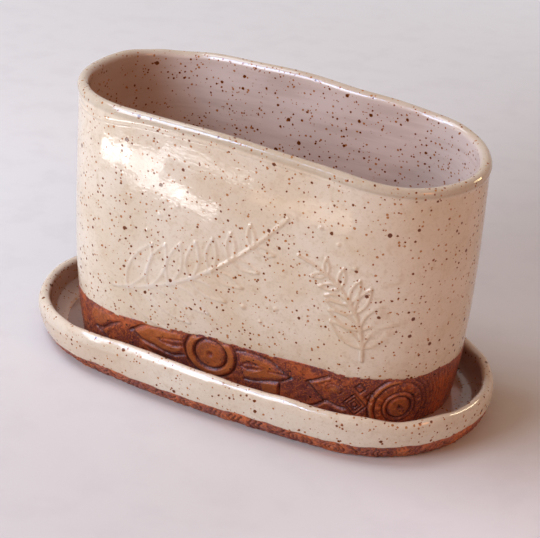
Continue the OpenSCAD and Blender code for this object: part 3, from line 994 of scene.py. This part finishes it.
# %% Glaze material
def speckled_glaze(name, outside, inside):
    """Glossy speckled glaze. outside is a cream and its two clouds, inside a colour and its streaks."""
    material = blank_material(name)
    place, ragged = ragged_place(material)
    colour, dark = glaze_colour(material, place, ragged, outside, inside)
    wiped = add_node(material, "Mapping", {"vector_type": "POINT"},
                     {"Vector": place, "Rotation": (0, math.radians(-23), 0), "Scale": (0.6, 1, 1)})
    waves = add_node(material, "TexNoise", {},
                     {"Vector": wiped.outputs[0], "Scale": 1 / (2.2 * MM), "Detail": 2.0,
                      "Roughness": cloud_roughness})
    waviness = add_node(material, "Bump", {},
                        {"Strength": 0.4, "Distance": 0.2 * MM, "Height": waves.outputs["Fac"]})
    pits = add_node(material, "Bump", {"invert": True},
                    {"Strength": 0.4, "Distance": 0.12 * MM, "Height": dark,
                     "Normal": waviness.outputs["Normal"]})
    shader = add_node(material, "BsdfPrincipled", {},
                      {"Base Color": colour, "Roughness": 0.07, "IOR": 1.52,
                       "Normal": pits.outputs["Normal"]})
    add_node(material, "OutputMaterial", {}, {"Surface": shader.outputs[0]})
    return material


planter_inside = ("#E2D2CC", "#C4ADA4")
planter_glaze = speckled_glaze("speckled_cream_glaze", ("#EBDDCA", "#DBC5A6", "#D0B797"), planter_inside)
# The saucer's inside is darker and browner than its outside: partly its own glaze, partly painted shade where
# the planter shades it
saucer_glaze = speckled_glaze("speckled_saucer_glaze", ("#E3D6C5", "#D9C8B0", "#CEB9A0"),
                              ("#BA9C90", "#A6887C"))
print("glazes:", planter_glaze.name, saucer_glaze.name)

# %% [markdown]
# ## Bare red stoneware
# The band is the clay itself, fired without glaze to a satin skin. Kiln gases flash it in clouds of
# orange and purple-brown, and the same iron dots it. Painted shade darkens it where it is pressed
# in, and a painted highlight makes it more orange where it stands proud. It was smoothed with a wet
# sponge, so it shines a little but isn't smooth. The saucer's foot gets a lighter, more orange copy
# of the clay, which is painted light where the foot stands in shade by the floor.

# %% Colour of the bare clay
def clay_colour(material, place, ragged, purple="#7C3E3A", orange="#B85C34"):
    """Colour of the fired clay, cloudy between its two colours, with painted shade where it was pressed in
    and a painted highlight where it stands proud.
    """
    pressed = add_node(material, "Attribute", {"attribute_name": "pressed"}, {}).outputs["Fac"]
    base = mottle(material, linear(purple), orange, place, 15, 5.0, 0.42, 0.62)
    base = mottle(material, base, "#602E2A", place, 2.6, 3.0, 0.45, 0.64, 0.7)
    base = mottle(material, base, "#C86E34", place, 1.0, 2.0, 0.5, 0.62, 0.75)
    # Painted shade in the pressed-in lines, and a painted highlight on the raised marks
    base = tint(material, base, "#4A241F", pressed, -0.1, -0.75, 0.6)
    base = tint(material, base, "#C67438", pressed, 0.25, 0.85, 0.6)
    iron = add_node(material, "Math", {"operation": "MAXIMUM"},
                    {0: speckles(material, ragged, 2.2, 0.25, 0.5, 0.6),
                     1: speckles(material, ragged, 4.2, 0.5, 0.9, 0.6)})
    return tint(material, base, "#23110D", iron.outputs[0], 0.0, 0.8)


print("the clay's clouds are 15, 2.6 and 1 mm wide")

# %% Bare clay material
def coated_clay(material, place, colour, glazed, grit_mm):
    """Ends a material that is satin clay where glazed is 0 and glossy glaze where it is 1."""
    rough = add_node(material, "MapRange", {}, {"Value": glazed, "To Min": 0.4, "To Max": 0.12})
    relief = add_node(material, "MapRange", {}, {"Value": glazed, "To Min": 0.9, "To Max": 0.15})
    grains = add_node(material, "TexNoise", {},
                      {"Vector": place, "Scale": 1 / (grit_mm * MM), "Detail": 4.0,
                       "Roughness": cloud_roughness})
    grit = add_node(material, "Bump", {},
                    {"Strength": relief.outputs["Result"], "Distance": 0.4 * MM,
                     "Height": grains.outputs["Fac"]})
    shader = add_node(material, "BsdfPrincipled", {},
                      {"Base Color": colour, "Roughness": rough.outputs["Result"], "IOR": 1.42,
                       "Normal": grit.outputs["Normal"]})
    add_node(material, "OutputMaterial", {}, {"Surface": shader.outputs[0]})
    return material


def bare_stoneware(name, *clay):
    """Unglazed red-brown stoneware, with glaze on the inner face of the wall."""
    material = blank_material(name)
    place, ragged = ragged_place(material)
    within = add_node(material, "Attribute", {"attribute_name": "within"}, {}).outputs["Fac"]
    inner, _ = glaze_colour(material, place, ragged, planter_inside[:1] * 3, planter_inside)
    colour = add_node(material, "Mix", {"data_type": "RGBA"},
                      {0: within, 6: clay_colour(material, place, ragged, *clay), 7: inner})
    return coated_clay(material, place, colour.outputs[2], within, 1.0)


bare_clay = bare_stoneware("bare_red_stoneware")
# Painted light: a lighter, more orange copy of the clay for the saucer's foot, which stands in shade by the
# floor
foot_clay_painted_lighter = bare_stoneware("orange_stoneware_painted_lighter", "#925048", "#D0703E")
print("bare clays:", bare_clay.name, foot_clay_painted_lighter.name)

# %% [markdown]
# ## Floors, glazed above and bare below
# A base slab is glazed on top only, since glaze under a pot would weld it to the kiln shelf. Two
# materials would need its faces parted. One finish that changes with height leaves the CAD piece as
# it is: clay below a level, glaze above it, and painted shade at the left end, as on the walls.

# %% Floor material
def floor_slab(name, glaze, level_mm):
    """Stoneware that is glazed above a level in mm. glaze is a colour and its streaks."""
    material = blank_material(name)
    place, ragged = ragged_place(material)
    sides = add_node(material, "SeparateXYZ", {}, {"Vector": place})
    glazed = add_node(material, "MapRange", {"interpolation_type": "SMOOTHSTEP"},
                      {"Value": sides.outputs["Z"], "From Min": (level_mm - 0.6) * MM,
                       "From Max": (level_mm - 0.3) * MM}).outputs["Result"]
    top, _ = glaze_colour(material, place, ragged, glaze[:1] * 3, glaze)
    # Painted shade: the glaze is darker towards the left end, inside the pots
    top = tint(material, top, "#80604E", sides.outputs["X"], -70 * MM, -110 * MM, 0.8)
    colour = add_node(material, "Mix", {"data_type": "RGBA"},
                      {0: glazed, 6: clay_colour(material, place, ragged), 7: top})
    return coated_clay(material, place, colour.outputs[2], glazed, 2.0)


planter_floor_level = tray_slab + base_slab
planter_floor_glaze = floor_slab("planter_floor_glazed_on_top", ("#C4B2AC", "#B09A90"), planter_floor_level)
# The saucer's floor is dark like its inner wall: partly its own glaze, partly painted shade under the planter
saucer_floor_glaze = floor_slab("saucer_floor_glazed_on_top", ("#B28C82", "#9C786E"), tray_slab)
print(f"floors are glazed above {planter_floor_level:.0f} and {tray_slab:.0f} mm")

# %% [markdown]
# ## Put the finishes on and let the pieces ride
# The fine meshes stand for their CAD nodes and ride on the same bodies, so they move with them. The
# two floors are flat slabs, which the CAD model already gives in full, so they only get a finish.

# %% Materials and bodies
def dress(piece, material, body, slot, *nodes):
    """Gives a piece its finish, its body and the CAD nodes that it stands for. The slot is not used."""
    piece.data.materials.append(material)
    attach(piece, body)
    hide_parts(*nodes)


dress(glazed_wall, planter_glaze, "planter", "planter_glaze", "planter_wall", "planter_rim")
dress(stamped_band, bare_clay, "planter", "bare_clay", "planter_band")
dress(glazed_saucer, saucer_glaze, "saucer", "saucer_glaze", "saucer_wall")
dress(saucer_foot, foot_clay_painted_lighter, "saucer", "bare_clay", "saucer_band")
for node, finish in (("planter_floor", planter_floor_glaze), ("saucer_floor", saucer_floor_glaze)):
    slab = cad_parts[node]
    slab.material_slots[0].material = finish
    print(node, "is finished with", finish.name)

# %% [markdown]
# ## Paper floor
# The pot stands on wide pale paper, as in a product photograph. The paper is only a stage, not part
# of the object. Painted light makes it whiter behind on the left, towards the window, and paler at
# the front right, and faint clouds keep it from looking like plastic. More lamps could whiten it far
# off, but they would bleach the pot. So the camera sees a pale tone there instead, and so does a
# glossy glaze.

# %% Pale tone far off
def pale_far_off(owner, far, shader, hex_colour):
    """Ends a material or a world that looks pale to the camera and to glossy rays where far is 1."""
    path = add_node(owner, "LightPath", {}, {})
    seen = add_node(owner, "Math", {"operation": "MAXIMUM"},
                    {0: path.outputs["Is Camera Ray"], 1: path.outputs["Is Glossy Ray"]})
    part = add_node(owner, "Math", {"operation": "MULTIPLY"}, {0: seen.outputs[0], 1: far})
    pale = add_node(owner, "Emission", {}, {"Color": linear(hex_colour), "Strength": 1.0})
    mix = add_node(owner, "MixShader", {}, {0: part.outputs[0], 1: shader, 2: pale.outputs[0]})
    return mix.outputs[0]


print("far off, the paper is", [round(part, 2) for part in linear("#E6E4E9")[:3]])

# %% Matt paper
paper = blank_material("pale_matt_paper")
paper_place = add_node(paper, "TexCoord", {}, {}).outputs["Object"]
to_window = add_node(paper, "VectorMath", {"operation": "DOT_PRODUCT"},
                     {0: paper_place, 1: (-0.8, 1.0, 0.0)})
to_front = add_node(paper, "VectorMath", {"operation": "DOT_PRODUCT"},
                    {0: paper_place, 1: (0.7, -0.7, 0.0)})
away = add_node(paper, "VectorMath", {"operation": "LENGTH"}, {0: paper_place})
# Painted light: whiter towards the window behind on the left, and paler at the front right
colour = tint(paper, linear("#D8D5D5"), "#F4F4F6", to_window.outputs["Value"], -0.05, 0.5)
colour = tint(paper, colour, "#E8E6EA", to_front.outputs["Value"], 0.08, 0.22)
colour = mottle(paper, colour, "#B4ACB4", paper_place, 26, 4.0, 0.45, 0.7, 0.08)
matt = add_node(paper, "BsdfPrincipled", {}, {"Base Color": colour, "Roughness": 0.95})
far = add_node(paper, "MapRange", {"interpolation_type": "SMOOTHSTEP"},
               {"Value": away.outputs["Value"], "From Min": 0.3, "From Max": 1.2}).outputs["Result"]
ended = pale_far_off(paper, far, matt.outputs[0], "#E6E4E9")
add_node(paper, "OutputMaterial", {}, {"Surface": ended})
print("paper turns pale from 0.3 to 1.2 m away")

# %% Paper floor
half_side = 8
corners = [(-half_side, -half_side, 0), (half_side, -half_side, 0),
           (half_side, half_side, 0), (-half_side, half_side, 0)]
paper_mesh = bpy.data.meshes.new("paper_floor")
paper_mesh.from_pydata(corners, [], [(0, 1, 2, 3)])
paper_mesh.materials.append(paper)
paper_floor = bpy.data.objects.new("paper_floor", paper_mesh)
bpy.context.scene.collection.objects.link(paper_floor)
paper_floor.rotation_euler[2] = camera_azimuth
print(f"paper of {2 * half_side} by {2 * half_side} m")

# %% [markdown]
# ## Light
# The light of the photograph is daylight from the left: one broad source high over the left end,
# and one lower at the left front. The right side gets only a weak warm fill. An environment image
# could give all of it at once, but single lamps can be moved and named. A fourth lamp stands for
# the sky's gleam, which draws the thin highlights along the rims: it adds to gloss and not to the
# colour, so its diffuse light is off.

# %% Lamps
def soft_light(name, place, wide, tall, watts, hex_colour, aim_at=(0, 0, 0.08), roll=0):
    """A rectangular lamp that the camera doesn't see. Its place, size and aim are in metres."""
    data = bpy.data.lights.new(name, "AREA")
    data.shape = "RECTANGLE"
    data.size = wide
    data.size_y = tall
    data.energy = watts
    data.color = linear(hex_colour)[:3]
    light = bpy.data.objects.new(name, data)
    facing = (Vector(aim_at) - Vector(place)).to_track_quat("-Z", "Y").to_matrix().to_4x4()
    rolled = Matrix.Rotation(math.radians(roll), 4, "Z")
    light.matrix_world = Matrix.Translation(place) @ facing @ rolled
    light.visible_camera = False
    bpy.context.scene.collection.objects.link(light)
    return light


soft_light("sky_on_the_left", (-0.78, -0.13, 1.42), 0.8, 0.8, 12.9, "#EBF0FF")
soft_light("window_left_front", (-0.52, -0.92, 0.55), 0.6, 0.45, 7.4, "#EBF0FF")
soft_light("warm_fill_right", (0.62, -0.16, 0.5), 0.12, 0.12, 0.62, "#FF9850")
gleam = soft_light("sky_gleam_on_rims", (-0.6, -0.8, 0.98), 0.95, 0.42, 24, "#A5CBFF")
gleam.visible_diffuse = False
print(len(bpy.data.lights), "lamps light the pot")

# %% [markdown]
# ## Reflections of the window
# The glaze mirrors a window whose panes break up in its wavy surface, and the warm room beside it.
# A true window behind true waves would take long to aim. Instead small panels stand about a hand's
# width off the pot, where the camera sees them mirrored. They add gloss and no colour, and light
# linking keeps each on its one piece.

# %% Glints
def glints_on(piece, brightness, hex_colour, panels):
    """Gloss-only panels for one piece: place, spot faced, width and height in mm, roll in degrees."""
    lit = bpy.data.collections.new("lit_" + piece.name)
    lit.objects.link(piece)
    for place, spot, wide, tall, roll in panels:
        watts = brightness * wide * tall * MM * MM
        glint = soft_light("glint_on_" + piece.name, Vector(place) * MM, wide * MM, tall * MM,
                           watts, hex_colour, Vector(spot) * MM, roll)
        glint.light_linking.receiver_collection = lit
        glint.visible_diffuse = False


# Panes of the window on the wall's left half
glints_on(glazed_wall, 23, "#FFFFFF", [
    ((-138, -130, 108), (-62, -62, 156), 74, 9, -4),
    ((-139, -130, 101), (-67, -62, 149), 92, 12, -7),
    ((-95, -151, 98), (-50, -62, 145), 39, 16, -15),
    ((-77, -151, 84), (-37, -61, 132), 36, 8, -8),
    ((-52, -152, 79), (-17, -60, 127), 36, 7, -18),
    ((-59, -153, 109), (-23, -60, 155), 32, 4, -11),
    ((-26, -152, 105), (6, -58, 151), 31, 3, -19),
])
# The warm room on its right half
glints_on(glazed_wall, 8, "#FFE0BE", [
    ((39, -150, 92), (62, -53, 139), 43, 13, -13),
    ((3, -150, 92), (32, -55, 140), 28, 6, -4),
])
# Golden light on the near end of the lip and of the saucer's rim
glints_on(glazed_wall, 40, "#FFE9B0", [((178, 67, 188), (128, -2, 158), 24, 20, -12)])
glints_on(glazed_saucer, 45, "#FFF2CC", [((184, 50, 90), (144, -14, 24), 36, 32, 0)])
# The whole window, seen along the saucer's rim
glints_on(glazed_saucer, 36, "#EAF1FF", [((-560, -950, 420), (0, 0, 20), 250, 700, 0)])
print(len(bpy.data.lights), "lamps with the glints")

# %% [markdown]
# ## The room
# A dim warm room fills the shadows, and the camera and the glaze see it pale, like the paper.

# %% World
world = bpy.data.worlds.new("dim_room")
bpy.context.scene.world = world
world.use_nodes = True
world.node_tree.nodes.clear()
room = add_node(world, "Background", {}, {"Color": linear("#EED6BE"), "Strength": 0.35})
seen_room = pale_far_off(world, 1.0, room.outputs[0], "#DCD3D2")
add_node(world, "OutputWorld", {}, {"Surface": seen_room})
bpy.context.scene.view_settings.view_transform = "Standard"
print("world:", world.name)
